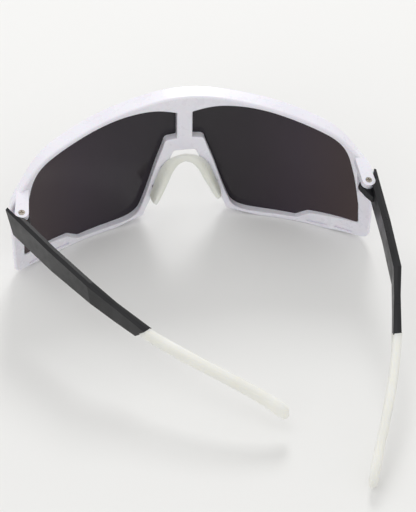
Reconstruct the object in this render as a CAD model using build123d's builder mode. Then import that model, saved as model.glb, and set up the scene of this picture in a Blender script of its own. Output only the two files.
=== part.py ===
from build123d import *
import math
import os

# Wraparound sport sunglasses, standing on their lower rim and one ear tip, left arm partly folded.
# Millimetres, +Z up. The front faces -Y, the arms run back towards +Y, x = 0 is the mid plane.
# The origin is the centre of the footprint, on the surface that the glasses stand on.

# ---------- driving dimensions ----------
HINGE_X = 66.0            # hinge screws, each side of the mid plane
HINGE_Y = -39.0           # hinge screws, ahead of the origin
HINGE_Z = 38.7            # top of the hinge lugs
HINGE_TILT_DEG = 9.1      # the hinge axes lean back by this much
LEFT_FOLD_DEG = 32.8      # the left arm is stored partly folded
RIGHT_CANT_DEG = 6.5      # the right hinge leans outwards and further back,
RIGHT_TILT_DEG = 5.0      # so that the right arm folds over the left one

WRAP_Y = HINGE_Y + 58.5   # centre of the lens and of the rim's front, seen from above
REAR_Y = HINGE_Y + 70.3   # centre of the rim's flatter rear
LENS_REAR_R = 94.6
LENS_THICK = 1.8
LENS_GAP = 0.04           # play across the lens in its groove
RIM_REAR_R = 102.8
RIM_FRONT_R = 98.4
RIM_HALF_WIDTH = 70.4
STRUT_HALF_WIDTH = 3.05
EDGE_ROUND = 0.8
WINDOW_ROUND = 0.5

EAR_R = 2.6               # hinge lug ears
EAR_THICK = 2.3
LUG_REACH = 10.5          # the ears run forward into the rim
LUG_OUTER_ROOT = 1.0      # where the ears meet the rim, outboard of the hinge
UPPER_EAR_ROOT = 3.6      # the same, inboard
LOWER_EAR_ROOT = 0.9
KNUCKLE_R = 2.85
KNUCKLE_THICK = 3.0
EAR_GAP = 0.1             # play between an ear and the knuckle
SCREW_R = 0.75
SCREW_HEAD_R = 1.25
SCREW_HEAD_THICK = 0.7
SCREW_LENGTH = 7.9
RUNNING_GAP = 0.05
INSERT_R = 1.35
SLOT_DEPTH = 0.6

ARM_GAP = 0.25            # room between the arm and the lug
KNUCKLE_WEB = [(0, 0), (3.4, 0), (3.4, 6.5), (1.2, 6.5), (-0.6, 4.4), (-2.0, 2.0)]    # square to the axis
TONGUE_WIDTH = 1.5
TONGUE_HEIGHT = 2.8
TONGUE = [(60.0, 63.9, 22.0), (82.0, 57.7, 16.9)]    # y behind the hinge, centre x, centre z
SOCK_GAP = 0.03

PEG_R = 0.8
PEG_LENGTH = 1.6
PAD_GAP = 0.05

# ---------- outlines in front elevation, right half of each, x then z ----------
BROW = [(0, 60.4, 0), (20, 58.2, 0.05), (36, 55.3, 0.15), (46, 53.0, 0.2), (53, 51.2, 0.2), (59.5, 48.0, 0.2),
        (64.5, 43.0, 0.15), (68.5, 38.2, 0.05)]    # with the fall of the top towards the rear
SIDE_TOP = (RIM_HALF_WIDTH, 32.0)
SIDE_FOOT = (RIM_HALF_WIDTH, 2.6)
HEEL = (55.0, 0)
TOE = (29.0, 0)
NOSE_FOOT = (17.2, 3.2)
NOSE_TOP = (4.2, 34.3)

WINDOW_TOP = [(STRUT_HALF_WIDTH, 53.0), (10, 54.8), (18, 55.3), (30, 54.0), (43.5, 50.6), (52, 48.0), (57.2, 45.5),
              (60.4, 41.5), (62.2, 36.0), (64.0, 28.0), (65.4, 19.0), (66.0, 10.4)]
WINDOW_FOOT = [(66.1, 8.7), (48.6, 5.8), (44.2, 2.2)]
WINDOW_LOW = [(40.5, 2.1), (35.5, 2.0), (28, 2.2), (22.6, 3.3), (19.5, 5.4), (17.6, 9.0), (14.2, 19.2), (11.0, 29.8),
              (9.0, 35.6)]
WINDOW_SHOULDER = [(7.6, 40.0), (STRUT_HALF_WIDTH, 40.5)]

LENS_TOP = [(STRUT_HALF_WIDTH, 53.9), (10, 55.8), (18, 56.3), (30, 55.0), (43.8, 51.6), (52.5, 49.0), (58.0, 46.2),
            (61.4, 41.8), (63.2, 36.2), (65.0, 28.2), (66.4, 19.1), (67.0, 10.0)]
LENS_FOOT = [(67.1, 7.8), (49.0, 4.8), (44.6, 1.3)]
LENS_LOW = [(40.5, 1.2), (35.5, 1.1), (27.6, 1.3), (21.8, 2.6), (18.6, 4.9), (16.6, 8.8), (13.2, 19.0), (10.0, 29.6),
            (8.0, 35.3)]
LENS_SHOULDER = [(6.7, 39.1), (STRUT_HALF_WIDTH, 39.5)]
FOOT_ROUNDS = [1.2, 2.5, 2.5]
SHOULDER_ROUND = 1.8
STRUT_ROUND = 0.6

SLOTS = [(51.6, 2.3, 7.4), (61.2, 3.2, 6.4)]     # vents in the rim's rear: centre x, centre z, length
SLOT_HEIGHT = 1.0
SLOT_SLOPE_DEG = 4.0
PEGS = [(8.8, 27.0), (12.4, 18.0)]               # pegs of the nose pad in the frame's legs: x, z

# ---------- nose pad, left half, at the frame and along its slanted rear edge: x then height ----------
PAD_FRONT = [(0, 33.2), (5.0, 31.9), (8.4, 29.8), (10.4, 27.0), (13.7, 18.0), (15.2, 12.5),
             (12.9, 10.9), (11.0, 13.9), (8.1, 21.5), (5.4, 27.6), (3.0, 30.1), (0, 31.1)]
PAD_REAR = [(0, 33.2), (4.2, 31.8), (7.2, 28.4), (9.2, 24.6), (12.6, 17.6), (14.4, 14.8),
            (12.6, 13.4), (10.4, 16.4), (7.4, 21.6), (5.2, 26.2), (2.9, 29.2), (0, 30.5)]
PAD_FRONT_Y = -32.6       # behind the hinge
PAD_REAR_TOP_Y = -29.8    # the same, at the top of the rear edge
PAD_LEAN_DEG = 19.0       # the rear edge runs out backwards as it goes down

# ---------- arm, open, left side: y behind the hinge, outer x, crown z, width, height, inward lean ----------
ARM = [
    (-7.0, 69.9, 40.6, 2.9, 12.2, -0.7),
    (20.0, 69.9, 36.1, 2.9, 11.3, -0.6),
    (41.8, 69.2, 32.6, 3.0, 9.4, 0.0),
    (52.0, 66.8, 28.4, 2.5, 8.6, 0.1),
    (68.0, 63.8, 22.9, 3.2, 6.3, 0.0),
]
ARM_END_TOP = (67.2, 23.2)    # y behind the hinge and z of the slanted end, top and bottom
ARM_END_FOOT = (61.2, 17.4)
NOSE_TIP = (-4.8, 40.8)       # the same for the slanted nose
NOSE_CHIN = (-3.0, 29.4)
CROWN_DROP = 0.55             # the top slopes down this much each side of its crown

# ---------- ear sock: y behind the hinge, centre x, centre z, width, height ----------
SOCK = [
    (60.0, 64.1, 22.1, 3.6, 5.4),
    (70.0, 61.6, 19.8, 3.7, 5.2),
    (80.0, 58.4, 17.5, 3.8, 5.2),
    (90.0, 54.8, 15.1, 3.9, 5.2),
    (100.0, 50.7, 12.0, 3.9, 5.3),
    (109.0, 46.7, 8.4, 3.9, 5.8),
    (115.0, 44.3, 5.0, 4.0, 6.6),
    (118.0, 43.2, 3.3, 3.0, 5.4),
]

os.makedirs("parts", exist_ok=True)


# ---------- shared geometry ----------
def elevation(y):
    """Plane facing the front of the glasses, y behind the origin, with local y upwards."""
    return Plane.XZ.offset(-y)


def hinge_plane(drop=0.0):
    """Plane square to the left hinge axis, a given distance below the top of the lug."""
    tilt = math.radians(HINGE_TILT_DEG)
    top = Plane(origin=(HINGE_X, HINGE_Y, HINGE_Z), x_dir=(1, 0, 0), z_dir=(0, math.sin(tilt), math.cos(tilt)))
    return top.offset(-drop)


HINGE_AXIS = Axis(hinge_plane().origin, hinge_plane().z_dir)
KNUCKLE_DROP = EAR_THICK + EAR_GAP
LOWER_EAR_DROP = KNUCKLE_DROP + KNUCKLE_THICK + EAR_GAP
HINGE_FOOT_DROP = LOWER_EAR_DROP + EAR_THICK


def shell(inner_radius, outer_radius, centre_y=WRAP_Y):
    """Upright ring about the centre of the wrap or of the rim's rear."""
    with BuildPart() as ring:
        with BuildSketch(Plane.XY.offset(-5)):
            with Locations((0, centre_y)):
                Circle(outer_radius)
                Circle(inner_radius, mode=Mode.SUBTRACT)
        extrude(amount=75)
    return ring.part


def ring_prism(top, foot, low, shoulder, inner_radius, outer_radius, whole):
    """Outline swept forward through the ring between two radii: its left half, or both joined."""
    with BuildPart() as prism:
        with BuildSketch(elevation(WRAP_Y)) as outline:
            with BuildLine():
                leaving_top = Vector(*foot[0]) - Vector(*top[-1])
                Spline(*top, tangents=(Vector(*top[1]) - Vector(*top[0]), leaving_top))
                Polyline(top[-1], *foot, low[0])
                entering_low = Vector(*low[0]) - Vector(*foot[-1])
                Spline(*low, tangents=(entering_low, Vector(*shoulder[0]) - Vector(*low[-1])))
                Polyline(low[-1], *shoulder)
                if whole:
                    Polyline(top[0], (0, top[0][1]), (0, shoulder[-1][1]), shoulder[-1])
                else:
                    Line(top[0], shoulder[-1])
            make_face()
            for corner, radius in zip(foot + [shoulder[0]], FOOT_ROUNDS + [SHOULDER_ROUND]):
                fillet(outline.vertices().sort_by_distance((*corner, 0))[0], radius)
            if whole:
                mirror(about=Plane.YZ)
            else:
                fillet(outline.vertices().group_by(Axis.X)[0], STRUT_ROUND)
        extrude(amount=2 * RIM_FRONT_R)
        add(shell(inner_radius, outer_radius), mode=Mode.INTERSECT)
    return prism.part


def window(inner_radius, outer_radius, whole):
    """Opening that shows the lens, beside the strut or across it."""
    return ring_prism(WINDOW_TOP, WINDOW_FOOT, WINDOW_LOW, WINDOW_SHOULDER, inner_radius, outer_radius, whole)


def lens_blank(inner_radius, outer_radius):
    """The lens's own outline, a little larger than the window all round."""
    return ring_prism(LENS_TOP, LENS_FOOT, LENS_LOW, LENS_SHOULDER, inner_radius, outer_radius, True)


# ---------- front frame ----------
def brow_line(back):
    """Top outline of the rim in the elevation plane a distance behind the hinge."""
    points = []
    for x, height, fall in BROW:
        rim_front = WRAP_Y - HINGE_Y - math.sqrt(RIM_FRONT_R ** 2 - x ** 2)
        points.append((x, height - fall * (back - rim_front)))
    return points


with BuildPart() as rim_blank:
    for back in (-41, 0):
        with BuildSketch(elevation(HINGE_Y + back)) as rim_face:
            with BuildLine():
                brow = Spline(*brow_line(back), SIDE_TOP, tangents=((1, 0), (0, -1)))
                Polyline(brow @ 1, SIDE_FOOT, HEEL, TOE, NOSE_FOOT, NOSE_TOP, (0, NOSE_TOP[1]), brow @ 0)
            make_face()
            for corner, radius in ((SIDE_FOOT, 4.0), (HEEL, 12.0), (TOE, 12.0), (NOSE_FOOT, 1.6), (NOSE_TOP, 1.2)):
                fillet(rim_face.vertices().sort_by_distance((*corner, 0))[0], radius)
            mirror(about=Plane.YZ)
    loft(ruled=True)
    add(shell(RIM_REAR_R, 2 * RIM_REAR_R, REAR_Y), mode=Mode.INTERSECT)
    add(shell(RIM_REAR_R / 2, RIM_FRONT_R), mode=Mode.INTERSECT)
    curved_faces = rim_blank.faces().sort_by(SortBy.AREA)[-2:]
    fillet(curved_faces.edges(), EDGE_ROUND)


def hinge_drum(radius, drop, depth):
    """Round solid on the left hinge axis."""
    with BuildPart() as drum:
        with BuildSketch(hinge_plane(drop)):
            Circle(radius)
        extrude(amount=-depth)
    return drum.part


def hinge_ear(drop, inner_root):
    """One ear of the left lug, run forward into the rim and meeting it this far inboard."""
    with BuildPart() as ear:
        with BuildSketch(hinge_plane(drop)):
            Circle(EAR_R)
            Polygon((EAR_R, 0), (-EAR_R, 0), (-inner_root, -LUG_REACH), (LUG_OUTER_ROOT, -LUG_REACH), align=None)
        extrude(amount=-EAR_THICK)
    return ear.part


with BuildPart() as lug_half:
    add(hinge_ear(0, UPPER_EAR_ROOT))
    add(hinge_ear(LOWER_EAR_DROP, LOWER_EAR_ROOT))

with BuildPart() as lug_holes:
    add(hinge_drum(SCREW_R + RUNNING_GAP, 0, HINGE_FOOT_DROP))
    add(hinge_drum(SCREW_HEAD_R + RUNNING_GAP, 0, SCREW_HEAD_THICK))
    add(hinge_drum(INSERT_R, LOWER_EAR_DROP, EAR_THICK))
    add(hinge_drum(KNUCKLE_R + 0.3, EAR_THICK, KNUCKLE_THICK + 2 * EAR_GAP))


with BuildPart() as slot_cut:
    with BuildSketch(elevation(WRAP_Y)):
        for slot_x, slot_z, slot_length in SLOTS:
            with Locations((slot_x, slot_z)):
                SlotOverall(slot_length, SLOT_HEIGHT, rotation=SLOT_SLOPE_DEG)
    extrude(amount=2 * RIM_FRONT_R)
    add(shell(RIM_REAR_R - 2, RIM_REAR_R + SLOT_DEPTH, REAR_Y), mode=Mode.INTERSECT)

with BuildPart() as peg_holes:
    with BuildSketch(elevation(WRAP_Y)):
        with Locations(*PEGS):
            Circle(PEG_R)
    extrude(amount=2 * RIM_FRONT_R)
    add(shell(RIM_REAR_R - 2, RIM_REAR_R + PEG_LENGTH, REAR_Y), mode=Mode.INTERSECT)


def both_sides(half):
    """A left-hand solid with its mirror image."""
    with BuildPart() as pair:
        add(half)
        mirror(about=Plane.YZ)
    return pair.part


def mirrored(part):
    """Right-hand twin of a left-hand piece."""
    return part.mirror(Plane.YZ)


def right_hinge(part):
    """Right-hand twin of a piece of the hinge, turned to the right hinge's own lean."""
    centre = (-HINGE_X, HINGE_Y, HINGE_Z)
    tilted = mirrored(part).rotate(Axis(centre, (1, 0, 0)), -RIGHT_TILT_DEG)
    return tilted.rotate(Axis(centre, (0, 1, 0)), -RIGHT_CANT_DEG)


def on_rear(point):
    """Whether a point lies on the rim's rear surface."""
    return abs(math.hypot(point.X, point.Y - REAR_Y) - RIM_REAR_R) < 0.15


with BuildPart() as front_frame:
    add(rim_blank.part)
    add(both_sides(window(LENS_REAR_R - 12, LENS_REAR_R, False)), mode=Mode.SUBTRACT)
    window_edges = front_frame.edges(Select.LAST).filter_by(lambda edge: on_rear(edge.center()))
    fillet(window_edges, WINDOW_ROUND)
    add(window(LENS_REAR_R, RIM_FRONT_R + 2, True), mode=Mode.SUBTRACT)
    add(lug_half.part)
    add(right_hinge(lug_half.part))
    add(lens_blank(LENS_REAR_R - LENS_GAP, LENS_REAR_R + LENS_THICK + LENS_GAP), mode=Mode.SUBTRACT)
    add(lug_holes.part, mode=Mode.SUBTRACT)
    add(right_hinge(lug_holes.part), mode=Mode.SUBTRACT)
    add(both_sides(slot_cut.part), mode=Mode.SUBTRACT)
    add(both_sides(peg_holes.part), mode=Mode.SUBTRACT)

# ---------- lens ----------
with BuildPart() as shield_lens:
    add(lens_blank(LENS_REAR_R, LENS_REAR_R + LENS_THICK))

# ---------- hinge screw and its threaded insert, left side ----------
with BuildPart() as screw:
    add(hinge_drum(SCREW_R, 0, SCREW_LENGTH))
    add(hinge_drum(SCREW_HEAD_R, 0, SCREW_HEAD_THICK))
    with BuildSketch(hinge_plane()):
        Rectangle(1.5 * SCREW_HEAD_R, 0.36)
        Rectangle(0.36, 1.5 * SCREW_HEAD_R)
    extrude(amount=-0.4, mode=Mode.SUBTRACT)

with BuildPart() as insert:
    add(hinge_drum(INSERT_R, LOWER_EAR_DROP, EAR_THICK))
    add(hinge_drum(SCREW_R, LOWER_EAR_DROP, EAR_THICK), mode=Mode.SUBTRACT)


# ---------- arm, open, left side ----------
def slanted_plane(high, low):
    """Plane across the arm through two points of the side view, facing the rear."""
    rise = Vector(0, high[0] - low[0], high[1] - low[1])
    return Plane(origin=(HINGE_X, HINGE_Y + low[0], low[1]), x_dir=(1, 0, 0), z_dir=Vector(1, 0, 0).cross(rise) * -1)


with BuildPart() as ear_room:
    with BuildSketch(hinge_plane(-6)):
        Circle(EAR_R + ARM_GAP)
        with Locations((-LUG_REACH, -LUG_REACH)):
            Rectangle(2 * (LUG_REACH + EAR_R + ARM_GAP), 2 * LUG_REACH)
    extrude(amount=-24)

with BuildPart() as knuckle:
    with BuildSketch(hinge_plane(KNUCKLE_DROP)):
        Circle(KNUCKLE_R)
        with BuildLine():
            Polyline(*KNUCKLE_WEB, close=True)
        make_face()
        Circle(SCREW_R + RUNNING_GAP, mode=Mode.SUBTRACT)
    extrude(amount=-KNUCKLE_THICK)

with BuildPart() as arm_bar:
    for back, outer_x, crown_z, width, height, lean in ARM:
        with BuildSketch(elevation(HINGE_Y + back)):
            with BuildLine():
                Polyline((outer_x, crown_z - height), (outer_x, crown_z - CROWN_DROP),
                         (outer_x - width / 2, crown_z), (outer_x - width, crown_z - CROWN_DROP),
                         (outer_x - width - lean, crown_z - height), close=True)
            make_face()
    loft(ruled=True)
    split(bisect_by=slanted_plane(ARM_END_TOP, ARM_END_FOOT), keep=Keep.BOTTOM)
    split(bisect_by=slanted_plane(NOSE_TIP, NOSE_CHIN), keep=Keep.TOP)


def tongue(grow):
    """Bar on the end of the arm that the ear sock is pushed over."""
    with BuildPart() as bar:
        for back, centre_x, centre_z in TONGUE:
            with BuildSketch(elevation(HINGE_Y + back)):
                with Locations((centre_x, centre_z)):
                    Rectangle(TONGUE_WIDTH + 2 * grow, TONGUE_HEIGHT + 2 * grow)
        loft(ruled=True)
    return bar.part


with BuildPart() as left_arm:
    add(arm_bar.part)
    add(tongue(0))
    add(ear_room.part, mode=Mode.SUBTRACT)
    add(knuckle.part)

with BuildPart() as right_arm:
    add(mirrored(arm_bar.part))
    add(mirrored(tongue(0)))
    add(right_hinge(ear_room.part), mode=Mode.SUBTRACT)
    add(right_hinge(knuckle.part))

# ---------- ear sock, open, left side ----------
with BuildPart() as sock:
    for back, centre_x, centre_z, width, height in SOCK:
        with BuildSketch(elevation(HINGE_Y + back)):
            with Locations((centre_x, centre_z)):
                RectangleRounded(width, height, 0.45 * width)
    loft()
    split(bisect_by=slanted_plane(ARM_END_TOP, ARM_END_FOOT).offset(SOCK_GAP), keep=Keep.TOP)
    add(tongue(SOCK_GAP), mode=Mode.SUBTRACT)

# ---------- nose pad ----------
lean = math.radians(PAD_LEAN_DEG)
pad_rear_plane = Plane(origin=(0, HINGE_Y + PAD_REAR_TOP_Y, PAD_REAR[-1][1]), x_dir=(1, 0, 0),
                       z_dir=(0, -math.cos(lean), -math.sin(lean)))
with BuildPart() as pegs:
    with BuildSketch(elevation(WRAP_Y)):
        with Locations(*PEGS):
            Circle(PEG_R - PAD_GAP)
    extrude(amount=2 * RIM_FRONT_R)
    add(shell(RIM_REAR_R - 1, RIM_REAR_R + PEG_LENGTH - PAD_GAP, REAR_Y), mode=Mode.INTERSECT)

with BuildPart() as nose_pad:
    with BuildSketch(elevation(HINGE_Y + PAD_FRONT_Y)):
        with BuildLine():
            Polyline(*PAD_FRONT, close=True)
        make_face()
    with BuildSketch(pad_rear_plane):
        with BuildLine():
            Polyline(*[(x, (z - PAD_REAR[-1][1]) / math.cos(lean)) for x, z in PAD_REAR], close=True)
        make_face()
    loft(ruled=True)
    add(shell(RIM_REAR_R - PAD_GAP, 2 * RIM_REAR_R, REAR_Y), mode=Mode.SUBTRACT)
    add(pegs.part)
    mirror(about=Plane.YZ)


# ---------- placing and export ----------
def fold(part):
    """Left-hand piece turned about the hinge to the stored fold."""
    return part.rotate(HINGE_AXIS, LEFT_FOLD_DEG)


NODES = {
    "front_frame": front_frame.part,
    "shield_lens": shield_lens.part,
    "nose_pad": nose_pad.part,
    "hinge_screw_left": screw.part,
    "hinge_screw_right": right_hinge(screw.part),
    "hinge_insert_left": insert.part,
    "hinge_insert_right": right_hinge(insert.part),
    "temple_left": fold(left_arm.part),
    "temple_right": right_arm.part,
    "ear_sock_left": fold(sock.part),
    "ear_sock_right": mirrored(sock.part),
}
for name, part in NODES.items():
    part.label = name
    export_step(part, f"parts/{name}.step")

whole = Compound(children=list(NODES.values())).bounding_box()
print(f"x {whole.min.X:.2f} to {whole.max.X:.2f}, y {whole.min.Y:.2f} to {whole.max.Y:.2f}, "
      f"z {whole.min.Z:.2f} to {whole.max.Z:.2f}")
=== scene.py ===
"""Looks of the wraparound sport sunglasses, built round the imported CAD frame. Metres, +Z up."""

import math

import bpy
import bmesh
from mathutils import Matrix, Vector


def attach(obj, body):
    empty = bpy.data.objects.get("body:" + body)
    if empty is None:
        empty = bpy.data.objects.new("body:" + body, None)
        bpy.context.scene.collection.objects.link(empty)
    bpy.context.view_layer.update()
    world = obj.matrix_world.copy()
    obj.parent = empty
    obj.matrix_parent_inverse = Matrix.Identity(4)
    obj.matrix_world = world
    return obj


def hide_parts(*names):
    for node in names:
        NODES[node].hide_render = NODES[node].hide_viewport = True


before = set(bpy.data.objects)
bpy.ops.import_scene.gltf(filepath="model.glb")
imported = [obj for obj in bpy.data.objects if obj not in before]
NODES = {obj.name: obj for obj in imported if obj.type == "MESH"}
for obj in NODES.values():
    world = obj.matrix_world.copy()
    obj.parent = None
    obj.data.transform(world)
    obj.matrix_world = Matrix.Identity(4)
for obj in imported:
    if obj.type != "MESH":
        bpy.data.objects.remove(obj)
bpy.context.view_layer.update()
MM = 0.001

# ---------- hinge places in the row frame, millimetres, given to match the CAD -------------
HINGE_Y = -39.0                    # hinge line, ahead of the origin
HINGE_X = 66.0
HINGE_Z = 38.7
HINGE_TILT = math.radians(9.1)
LEFT_FOLD = math.radians(32.8)     # the left arm is stored partly folded

# ---------- camera, from behind and above ----------
CAMERA_PLACE = Vector((77.68, 440.0, 461.63)) * MM
CAMERA_AZIMUTH = math.radians(170.27)
CAMERA_ELEVATION = math.radians(43.08)
CAMERA_ROLL = math.radians(1.05)
CAMERA_LENS = 120.34               # millimetres
SENSOR_SIZE = 36                   # millimetres, along the picture's longer side


# ---------- node helpers ----------
class Material:
    """A node material under construction."""

    def __init__(self, name):
        self.material = bpy.data.materials.new(name)
        self.material.use_nodes = True
        self.tree = self.material.node_tree
        self.shader = self.tree.nodes["Principled BSDF"]
        self.place = self.add("ShaderNodeTexCoord").outputs["Object"]

    def add(self, kind, **settings):
        node = self.tree.nodes.new(kind)
        for key, value in settings.items():
            setattr(node, key, value)
        return node

    def link(self, source, target):
        self.tree.links.new(source, target)

    def set(self, **values):
        """Values that are the same all over the surface, straight on the shader."""
        for key, value in values.items():
            self.shader.inputs[key.replace("_", " ")].default_value = value

    def noise(self, scale, detail=3.0, roughness=0.5, place=None):
        node = self.add("ShaderNodeTexNoise")
        node.inputs["Scale"].default_value = scale
        node.inputs["Detail"].default_value = detail
        node.inputs["Roughness"].default_value = roughness
        self.link(place or self.place, node.inputs["Vector"])
        return node.outputs["Fac"]

    def stretched(self, x, y, z):
        node = self.add("ShaderNodeMapping")
        node.inputs["Scale"].default_value = (x, y, z)
        self.link(self.place, node.inputs["Vector"])
        return node.outputs["Vector"]

    def ramp(self, factor, stops):
        """Colour ramp over (position, colour) stops."""
        node = self.add("ShaderNodeValToRGB")
        elements = node.color_ramp.elements
        while len(elements) < len(stops):
            elements.new(0.5)
        for element, (position, colour) in zip(elements, stops):
            element.position = position
            element.color = (*colour, 1)
        self.link(factor, node.inputs["Fac"])
        return node.outputs["Color"]

    def remap(self, factor, low, high, source_low=0.3, source_high=0.7):
        node = self.add("ShaderNodeMapRange")
        node.inputs["From Min"].default_value = source_low
        node.inputs["From Max"].default_value = source_high
        node.inputs["To Min"].default_value = low
        node.inputs["To Max"].default_value = high
        self.link(factor, node.inputs["Value"])
        return node.outputs["Result"]

    def blend(self, factor, a, b):
        """Mix of two colours, each a plain colour or a node's output, on the node's colour sockets."""
        node = self.add("ShaderNodeMix", data_type="RGBA")
        self.link(factor, node.inputs["Factor"])
        for socket, value in ((node.inputs[6], a), (node.inputs[7], b)):
            if isinstance(value, tuple):
                socket.default_value = (*value, 1)
            else:
                self.link(value, socket)
        return node.outputs[2]

    def bump(self, height, strength, distance_mm):
        node = self.add("ShaderNodeBump")
        node.inputs["Strength"].default_value = strength
        node.inputs["Distance"].default_value = distance_mm * MM
        self.link(height, node.inputs["Height"])
        self.link(node.outputs["Normal"], self.shader.inputs["Normal"])


def plastic(name, stops, rough, grain_mm, grain_strength, **values):
    """Moulded plastic: slightly uneven colour, fine mould grain and varying gloss."""
    m = Material(name)
    cloud = m.noise(45, 4)
    m.link(m.ramp(cloud, stops), m.shader.inputs["Base Color"])
    smear = m.noise(260, 5, 0.6)
    m.link(m.remap(smear, *rough), m.shader.inputs["Roughness"])
    m.bump(m.noise(2600, 2), grain_strength, grain_mm)
    m.set(**values)
    return m


# ---------- materials ----------
rim_white = plastic("rim_white", [(0.3, (0.80, 0.785, 0.865)), (0.7, (0.87, 0.86, 0.92))],
                    rough=(0.22, 0.36), grain_mm=0.02, grain_strength=0.08,
                    Coat_Weight=0.25, Coat_Roughness=0.12, Subsurface_Weight=0.08, Subsurface_Scale=0.002)
arm_black = plastic("arm_black", [(0.3, (0.006, 0.006, 0.007)), (0.7, (0.013, 0.013, 0.015))],
                    rough=(0.26, 0.42), grain_mm=0.02, grain_strength=0.15, IOR=1.38)

TINT_FROM = 4                      # the lens turns from black to brown between these distances
TINT_TO = 68                       # from the mid plane, millimetres
lens_smoke = Material("lens_smoke")
towards_edge = lens_smoke.add("ShaderNodeMath", operation="ABSOLUTE")
lens_split = lens_smoke.add("ShaderNodeSeparateXYZ")
lens_smoke.link(lens_smoke.place, lens_split.inputs["Vector"])
lens_smoke.link(lens_split.outputs["X"], towards_edge.inputs[0])
across = lens_smoke.remap(towards_edge.outputs["Value"], 0.0, 1.0, TINT_FROM * MM, TINT_TO * MM)
tint = lens_smoke.ramp(across, [(0.0, (0.016, 0.014, 0.016)), (0.35, (0.020, 0.015, 0.020)),
                                (0.62, (0.030, 0.019, 0.028)), (1.0, (0.050, 0.029, 0.026))])
sheen_cloud = lens_smoke.noise(14, 2, 0.4)
lens_smoke.link(lens_smoke.blend(lens_smoke.remap(sheen_cloud, 0.0, 0.25), tint, (0.05, 0.04, 0.06)),
                lens_smoke.shader.inputs["Base Color"])
polish = lens_smoke.remap(lens_smoke.noise(500, 4, 0.7), 0.05, 0.11)
lens_smoke.link(polish, lens_smoke.shader.inputs["Roughness"])
lens_smoke.set(IOR=1.42, Coat_Weight=0.05, Coat_Roughness=0.05)

screw_metal = Material("screw_metal")
turned = screw_metal.noise(1, 4, 0.6, screw_metal.stretched(900, 900, 9000))
screw_metal.link(screw_metal.ramp(turned, [(0.3, (0.30, 0.27, 0.24)), (0.7, (0.52, 0.47, 0.40))]),
                 screw_metal.shader.inputs["Base Color"])
screw_metal.link(screw_metal.remap(turned, 0.25, 0.45), screw_metal.shader.inputs["Roughness"])
screw_metal.bump(turned, 0.2, 0.02)
screw_metal.set(Metallic=1.0)

insert_brass = Material("insert_brass")
knurl = insert_brass.noise(1, 3, 0.6, insert_brass.stretched(3000, 3000, 500))
insert_brass.link(insert_brass.ramp(knurl, [(0.3, (0.55, 0.38, 0.14)), (0.7, (0.78, 0.58, 0.26))]),
                  insert_brass.shader.inputs["Base Color"])
insert_brass.link(insert_brass.remap(knurl, 0.28, 0.42), insert_brass.shader.inputs["Roughness"])
insert_brass.bump(knurl, 0.4, 0.05)
insert_brass.set(Metallic=1.0)


def milky(name, pale, deep):
    """Milky silicone that lets light a little way in."""
    m = Material(name)
    m.link(m.ramp(m.noise(60, 3), [(0.3, deep), (0.7, pale)]), m.shader.inputs["Base Color"])
    m.link(m.remap(m.noise(380, 4, 0.6), 0.34, 0.5), m.shader.inputs["Roughness"])
    m.bump(m.noise(1800, 3), 0.12, 0.03)
    m.set(Subsurface_Weight=0.55, Subsurface_Scale=0.0035, Subsurface_Radius=(1.0, 0.95, 0.8), IOR=1.41,
          Coat_Weight=0.15, Coat_Roughness=0.25)
    return m


pad_silicone = milky("pad_silicone", (0.80, 0.81, 0.76), (0.72, 0.73, 0.68))
sock_rubber = milky("sock_rubber", (0.84, 0.84, 0.80), (0.76, 0.76, 0.72))

CAD_LOOKS = {
    "front_frame": rim_white, "shield_lens": lens_smoke, "temple_left": arm_black, "temple_right": arm_black,
    "hinge_screw_left": screw_metal, "hinge_screw_right": screw_metal,
    "hinge_insert_left": insert_brass, "hinge_insert_right": insert_brass,
    "nose_pad": pad_silicone, "ear_sock_left": sock_rubber, "ear_sock_right": sock_rubber,
}
for name, look in CAD_LOOKS.items():
    mesh = NODES[name].data
    mesh.materials.clear()
    mesh.materials.append(look.material)


# ---------- lofted soft pieces ----------
def smooth_between(stations, steps):
    """Catmull-Rom points through the stations, this many between each pair."""
    points = []
    for i in range(len(stations) - 1):
        before = stations[max(i - 1, 0)]
        here, there = stations[i], stations[i + 1]
        after = stations[min(i + 2, len(stations) - 1)]
        for k in range(steps):
            t = k / steps
            points.append([0.5 * (2 * b + (c - a) * t + (2 * a - 5 * b + 4 * c - d) * t ** 2
                                  + (3 * b - a - 3 * c + d) * t ** 3)
                           for a, b, c, d in zip(before, here, there, after)])
    points.append(list(stations[-1]))
    return points


def skinned(name, rings, material):
    """Closed mesh over rings with the same number of points each, capped at both ends."""
    bm = bmesh.new()
    loops = [[bm.verts.new(point) for point in ring] for ring in rings]
    count = len(loops[0])
    for low, high in zip(loops, loops[1:]):
        for i in range(count):
            j = (i + 1) % count
            bm.faces.new((low[i], low[j], high[j], high[i]))
    bm.faces.new(reversed(loops[0]))
    bm.faces.new(loops[-1])
    bmesh.ops.recalc_face_normals(bm, faces=bm.faces)
    mesh = bpy.data.meshes.new(name)
    bm.to_mesh(mesh)
    bm.free()
    for polygon in mesh.polygons:
        polygon.use_smooth = True
    mesh.materials.append(material.material)
    piece = bpy.data.objects.new(name, mesh)
    bpy.context.collection.objects.link(piece)
    return piece


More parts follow.
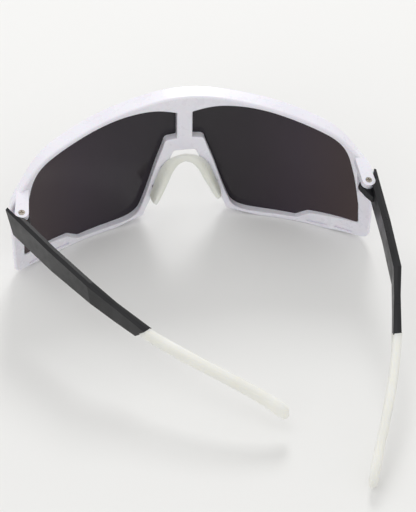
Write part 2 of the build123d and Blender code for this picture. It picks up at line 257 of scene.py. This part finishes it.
# Ear sock, open, left side: y behind the hinge, centre x, centre z, width, height
SOCK = [
    (64.6, 62.9, 21.2, 3.45, 5.0), (70.0, 61.6, 19.8, 3.6, 5.0), (80.0, 58.4, 17.5, 3.7, 5.0),
    (90.0, 54.8, 15.1, 3.75, 5.0), (100.0, 50.7, 12.0, 3.75, 5.1), (107.5, 47.4, 9.1, 3.7, 5.3),
    (112.0, 45.5, 6.9, 3.8, 5.8), (115.5, 44.1, 4.9, 3.7, 6.1), (117.3, 43.5, 3.9, 2.9, 5.2),
    (117.9, 43.2, 3.5, 1.2, 2.6),
]
SOCK_STEPS = 14
TOOTH_FROM = 72.0                  # grip teeth on the inner lower edge, between these distances
TOOTH_TO = 104.0
TOOTH_PITCH = 1.6
TOOTH_DEPTH = 0.28
SOCK_SIDES = 40                    # points round a section
SOCK_SQUARENESS = 0.62             # 1 is an ellipse, less is squarer
SOCK_END_TOP = (67.2, 23.2)        # y behind the hinge and z of the arm's slanted end, top and bottom
SOCK_END_FOOT = (61.2, 17.4)


def sock_ring(back, centre_x, centre_z, width, height):
    """Section of the sock: rounded bar, its inner lower edge cut into grip teeth."""
    ring = []
    toothed = TOOTH_FROM < back < TOOTH_TO
    tooth = (0.5 + 0.5 * math.cos(2 * math.pi * back / TOOTH_PITCH)) * TOOTH_DEPTH if toothed else 0.0
    for k in range(SOCK_SIDES):
        a = 2 * math.pi * k / SOCK_SIDES
        c, s = math.cos(a), math.sin(a)
        x = math.copysign(abs(c) ** SOCK_SQUARENESS, c) * width / 2
        z = math.copysign(abs(s) ** SOCK_SQUARENESS, s) * height / 2
        lower_inner = max(0.0, -s) * max(0.0, 0.35 - c)
        z += tooth * min(1.0, lower_inner * 1.3)
        ring.append((centre_x + x, HINGE_Y + back, centre_z + z))
    return ring


def sock_points():
    """Sections along the open left sock, in millimetres."""
    rings = []
    for station in smooth_between(SOCK, SOCK_STEPS):
        rings.append(sock_ring(*station))
    # the mouth is cut on the arm's slanted end
    slant = (SOCK_END_TOP[0] - SOCK_END_FOOT[0]) / (SOCK_END_TOP[1] - SOCK_END_FOOT[1])
    for index, ring in enumerate(rings[:SOCK_STEPS]):
        share = 1 - index / SOCK_STEPS
        rings[index] = [(x, y + share * (z - SOCK[0][2]) * slant, z) for x, y, z in ring]
    return rings


def folded(point):
    """Point of the open left arm at its stored fold."""
    hinge = Vector((HINGE_X, HINGE_Y, HINGE_Z))
    axis = Vector((0, math.sin(HINGE_TILT), math.cos(HINGE_TILT)))
    return hinge + Matrix.Rotation(LEFT_FOLD, 3, axis) @ (Vector(point) - hinge)


left_rings = [[folded(p) * MM for p in ring] for ring in sock_points()]
right_rings = [[Vector((-x, y, z)) * MM for x, y, z in ring] for ring in sock_points()]
for side, rings in (("left", left_rings), ("right", right_rings)):
    sock = skinned(f"ear_sock_{side}_soft", rings, sock_rubber)
    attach(sock, f"{side}_temple")
    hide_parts(f"ear_sock_{side}")

# Nose pad, left half from the crown down to the foot: the section's outer and inner corners at the
# frame and along the rear edge, each as x, z
PAD = [
    ((0, 33.1), (0, 31.0), (0, 32.9), (0, 30.5)),
    ((4.6, 32.0), (3.0, 30.0), (3.9, 31.8), (2.8, 29.2)),
    ((8.3, 29.8), (5.4, 27.4), (6.9, 28.6), (5.1, 26.2)),
    ((10.6, 26.4), (7.1, 23.6), (9.0, 24.8), (6.9, 22.6)),
    ((12.4, 21.4), (9.0, 18.8), (10.9, 20.8), (8.7, 19.4)),
    ((13.8, 16.8), (10.8, 14.6), (12.9, 17.0), (10.6, 16.0)),
    ((14.7, 13.7), (12.4, 12.0), (14.0, 15.0), (12.2, 13.9)),
]
PAD_STEPS = 10
PAD_GAP = 0.08                     # behind the frame's rear surface
REAR_CENTRE = 70.3                 # centre and radius of that surface, behind the hinge line
REAR_RADIUS = 102.8
PAD_REAR_TOP = (-29.8, 30.5)       # y behind the hinge line and z at the top of the rear edge
PAD_LEAN = math.tan(math.radians(19))
RIB_PITCH = 1.5                    # ribs across the outside of the legs
RIB_DEPTH = 0.22
RIBS_FROM = 9                      # from the crown, millimetres along the pad; nearer than this it is smooth
PAD_SIDES = 32
PAD_SQUARENESS = 0.55
FOOT_RINGS = 3                     # sections that close in at the foot


def pad_ring(outer_front, inner_front, outer_rear, inner_rear, distance, foot):
    """Rounded section between four corners, ribbed on the outside of the leg."""
    def placed(corner, rear):
        x, z = corner
        if rear:
            y = PAD_REAR_TOP[0] + (PAD_REAR_TOP[1] - z) * PAD_LEAN
        else:
            y = REAR_CENTRE - math.sqrt((REAR_RADIUS - PAD_GAP) ** 2 - x * x)
        return Vector((x, HINGE_Y + y, z))

    corners = [placed(outer_front, False), placed(inner_front, False),
               placed(outer_rear, True), placed(inner_rear, True)]
    centre = sum(corners, Vector()) / 4
    wave = 0.5 + 0.5 * math.cos(2 * math.pi * distance / RIB_PITCH)
    rib = RIB_DEPTH * wave if distance > RIBS_FROM else 0.0
    ring = []
    for k in range(PAD_SIDES):
        a = 2 * math.pi * k / PAD_SIDES
        c, s = math.cos(a), math.sin(a)
        u = math.copysign(abs(c) ** PAD_SQUARENESS, c) * 0.5 + 0.5     # 0 inner, 1 outer
        v = math.copysign(abs(s) ** PAD_SQUARENESS, s) * 0.5 + 0.5     # 0 front, 1 rear
        front = corners[1].lerp(corners[0], u)
        rear = corners[3].lerp(corners[2], u)
        point = front.lerp(rear, v)
        if u > 0.8 and v > 0.15:
            point -= (corners[0] - corners[1]).normalized() * rib
        ring.append(centre.lerp(point, foot))
    return ring


flat_pad = [[value for corner in station for value in corner] for station in PAD]
half_pad = []
travelled = 0.0
previous = None
for index, values in enumerate(smooth_between(flat_pad, PAD_STEPS)):
    here = Vector(values[:2])
    travelled += (here - previous).length if previous else 0.0
    previous = here
    left_over = len(flat_pad) * PAD_STEPS - PAD_STEPS - index
    foot = min(1.0, 0.45 + 0.2 * left_over) if left_over < FOOT_RINGS else 1.0
    half_pad.append(pad_ring(*[tuple(values[i:i + 2]) for i in (0, 2, 4, 6)], travelled, foot))
other_half = [[Vector((-p.x, p.y, p.z)) for p in ring] for ring in half_pad[:0:-1]]
pad = skinned("nose_pad_soft", [[p * MM for p in ring] for ring in other_half + half_pad], pad_silicone)
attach(pad, "front")
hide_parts("nose_pad")

# ---------- floor, light, camera ----------
floor_material = Material("studio_floor")
floor_tone = floor_material.ramp(floor_material.noise(2, 2),
                                 [(0.3, (0.82, 0.82, 0.81)), (0.7, (0.845, 0.845, 0.835))])
floor_gloss = floor_material.remap(floor_material.noise(9, 2), 0.75, 0.85)
floor_material.link(floor_tone, floor_material.shader.inputs["Base Color"])
floor_material.link(floor_gloss, floor_material.shader.inputs["Roughness"])
FLOOR_HALF = 4.0                   # metres
floor_mesh = bpy.data.meshes.new("floor")
floor_mesh.from_pydata([(x * FLOOR_HALF, y * FLOOR_HALF, 0) for x, y in ((-1, -1), (1, -1), (1, 1), (-1, 1))],
                       [], [(0, 1, 2, 3)])
floor_mesh.materials.append(floor_material.material)
floor = bpy.data.objects.new("floor", floor_mesh)
bpy.context.collection.objects.link(floor)

scene = bpy.context.scene
world = bpy.data.worlds.new("studio")
world.use_nodes = True
sky = world.node_tree.nodes["Background"]
sky.inputs["Color"].default_value = (1.0, 0.995, 0.985, 1)
sky.inputs["Strength"].default_value = 0.78
scene.world = world
scene.view_settings.view_transform = "Standard"


def softbox(name, place, target, size, power, colour=(1, 1, 1)):
    """Square area light aimed at a point, metres and watts."""
    light = bpy.data.lights.new(name, "AREA")
    light.size = size
    light.energy = power
    light.color = colour
    lamp = bpy.data.objects.new(name, light)
    lamp.location = place
    lamp.rotation_mode = "QUATERNION"
    lamp.rotation_quaternion = (Vector(target) - Vector(place)).to_track_quat("-Z", "Y")
    bpy.context.collection.objects.link(lamp)


softbox("key_behind", (-0.25, -1.15, 0.95), (0, 0, 0), 0.4, 6)
softbox("overhead", (0.3, 0.1, 1.3), (0, 0, 0), 0.8, 1.8, (0.98, 0.98, 1.0))
softbox("fill", (0.8, 1.1, 0.7), (0, 0, 0.02), 0.7, 1.2)

camera = bpy.data.cameras.new("camera")
camera.lens = CAMERA_LENS
camera.sensor_width = SENSOR_SIZE
camera.clip_start = 0.02
viewer = bpy.data.objects.new("camera", camera)
back = Vector((math.sin(CAMERA_AZIMUTH) * math.cos(CAMERA_ELEVATION),
               -math.cos(CAMERA_AZIMUTH) * math.cos(CAMERA_ELEVATION), math.sin(CAMERA_ELEVATION)))
right = (-back).cross(Vector((0, 0, 1))).normalized()
up = right.cross(-back)
turned_right = right * math.cos(CAMERA_ROLL) + up * math.sin(CAMERA_ROLL)
turned_up = up * math.cos(CAMERA_ROLL) - right * math.sin(CAMERA_ROLL)
basis = Matrix((turned_right, turned_up, back)).transposed()
viewer.matrix_world = Matrix.Translation(CAMERA_PLACE) @ basis.to_4x4()
bpy.context.collection.objects.link(viewer)
scene.camera = viewer
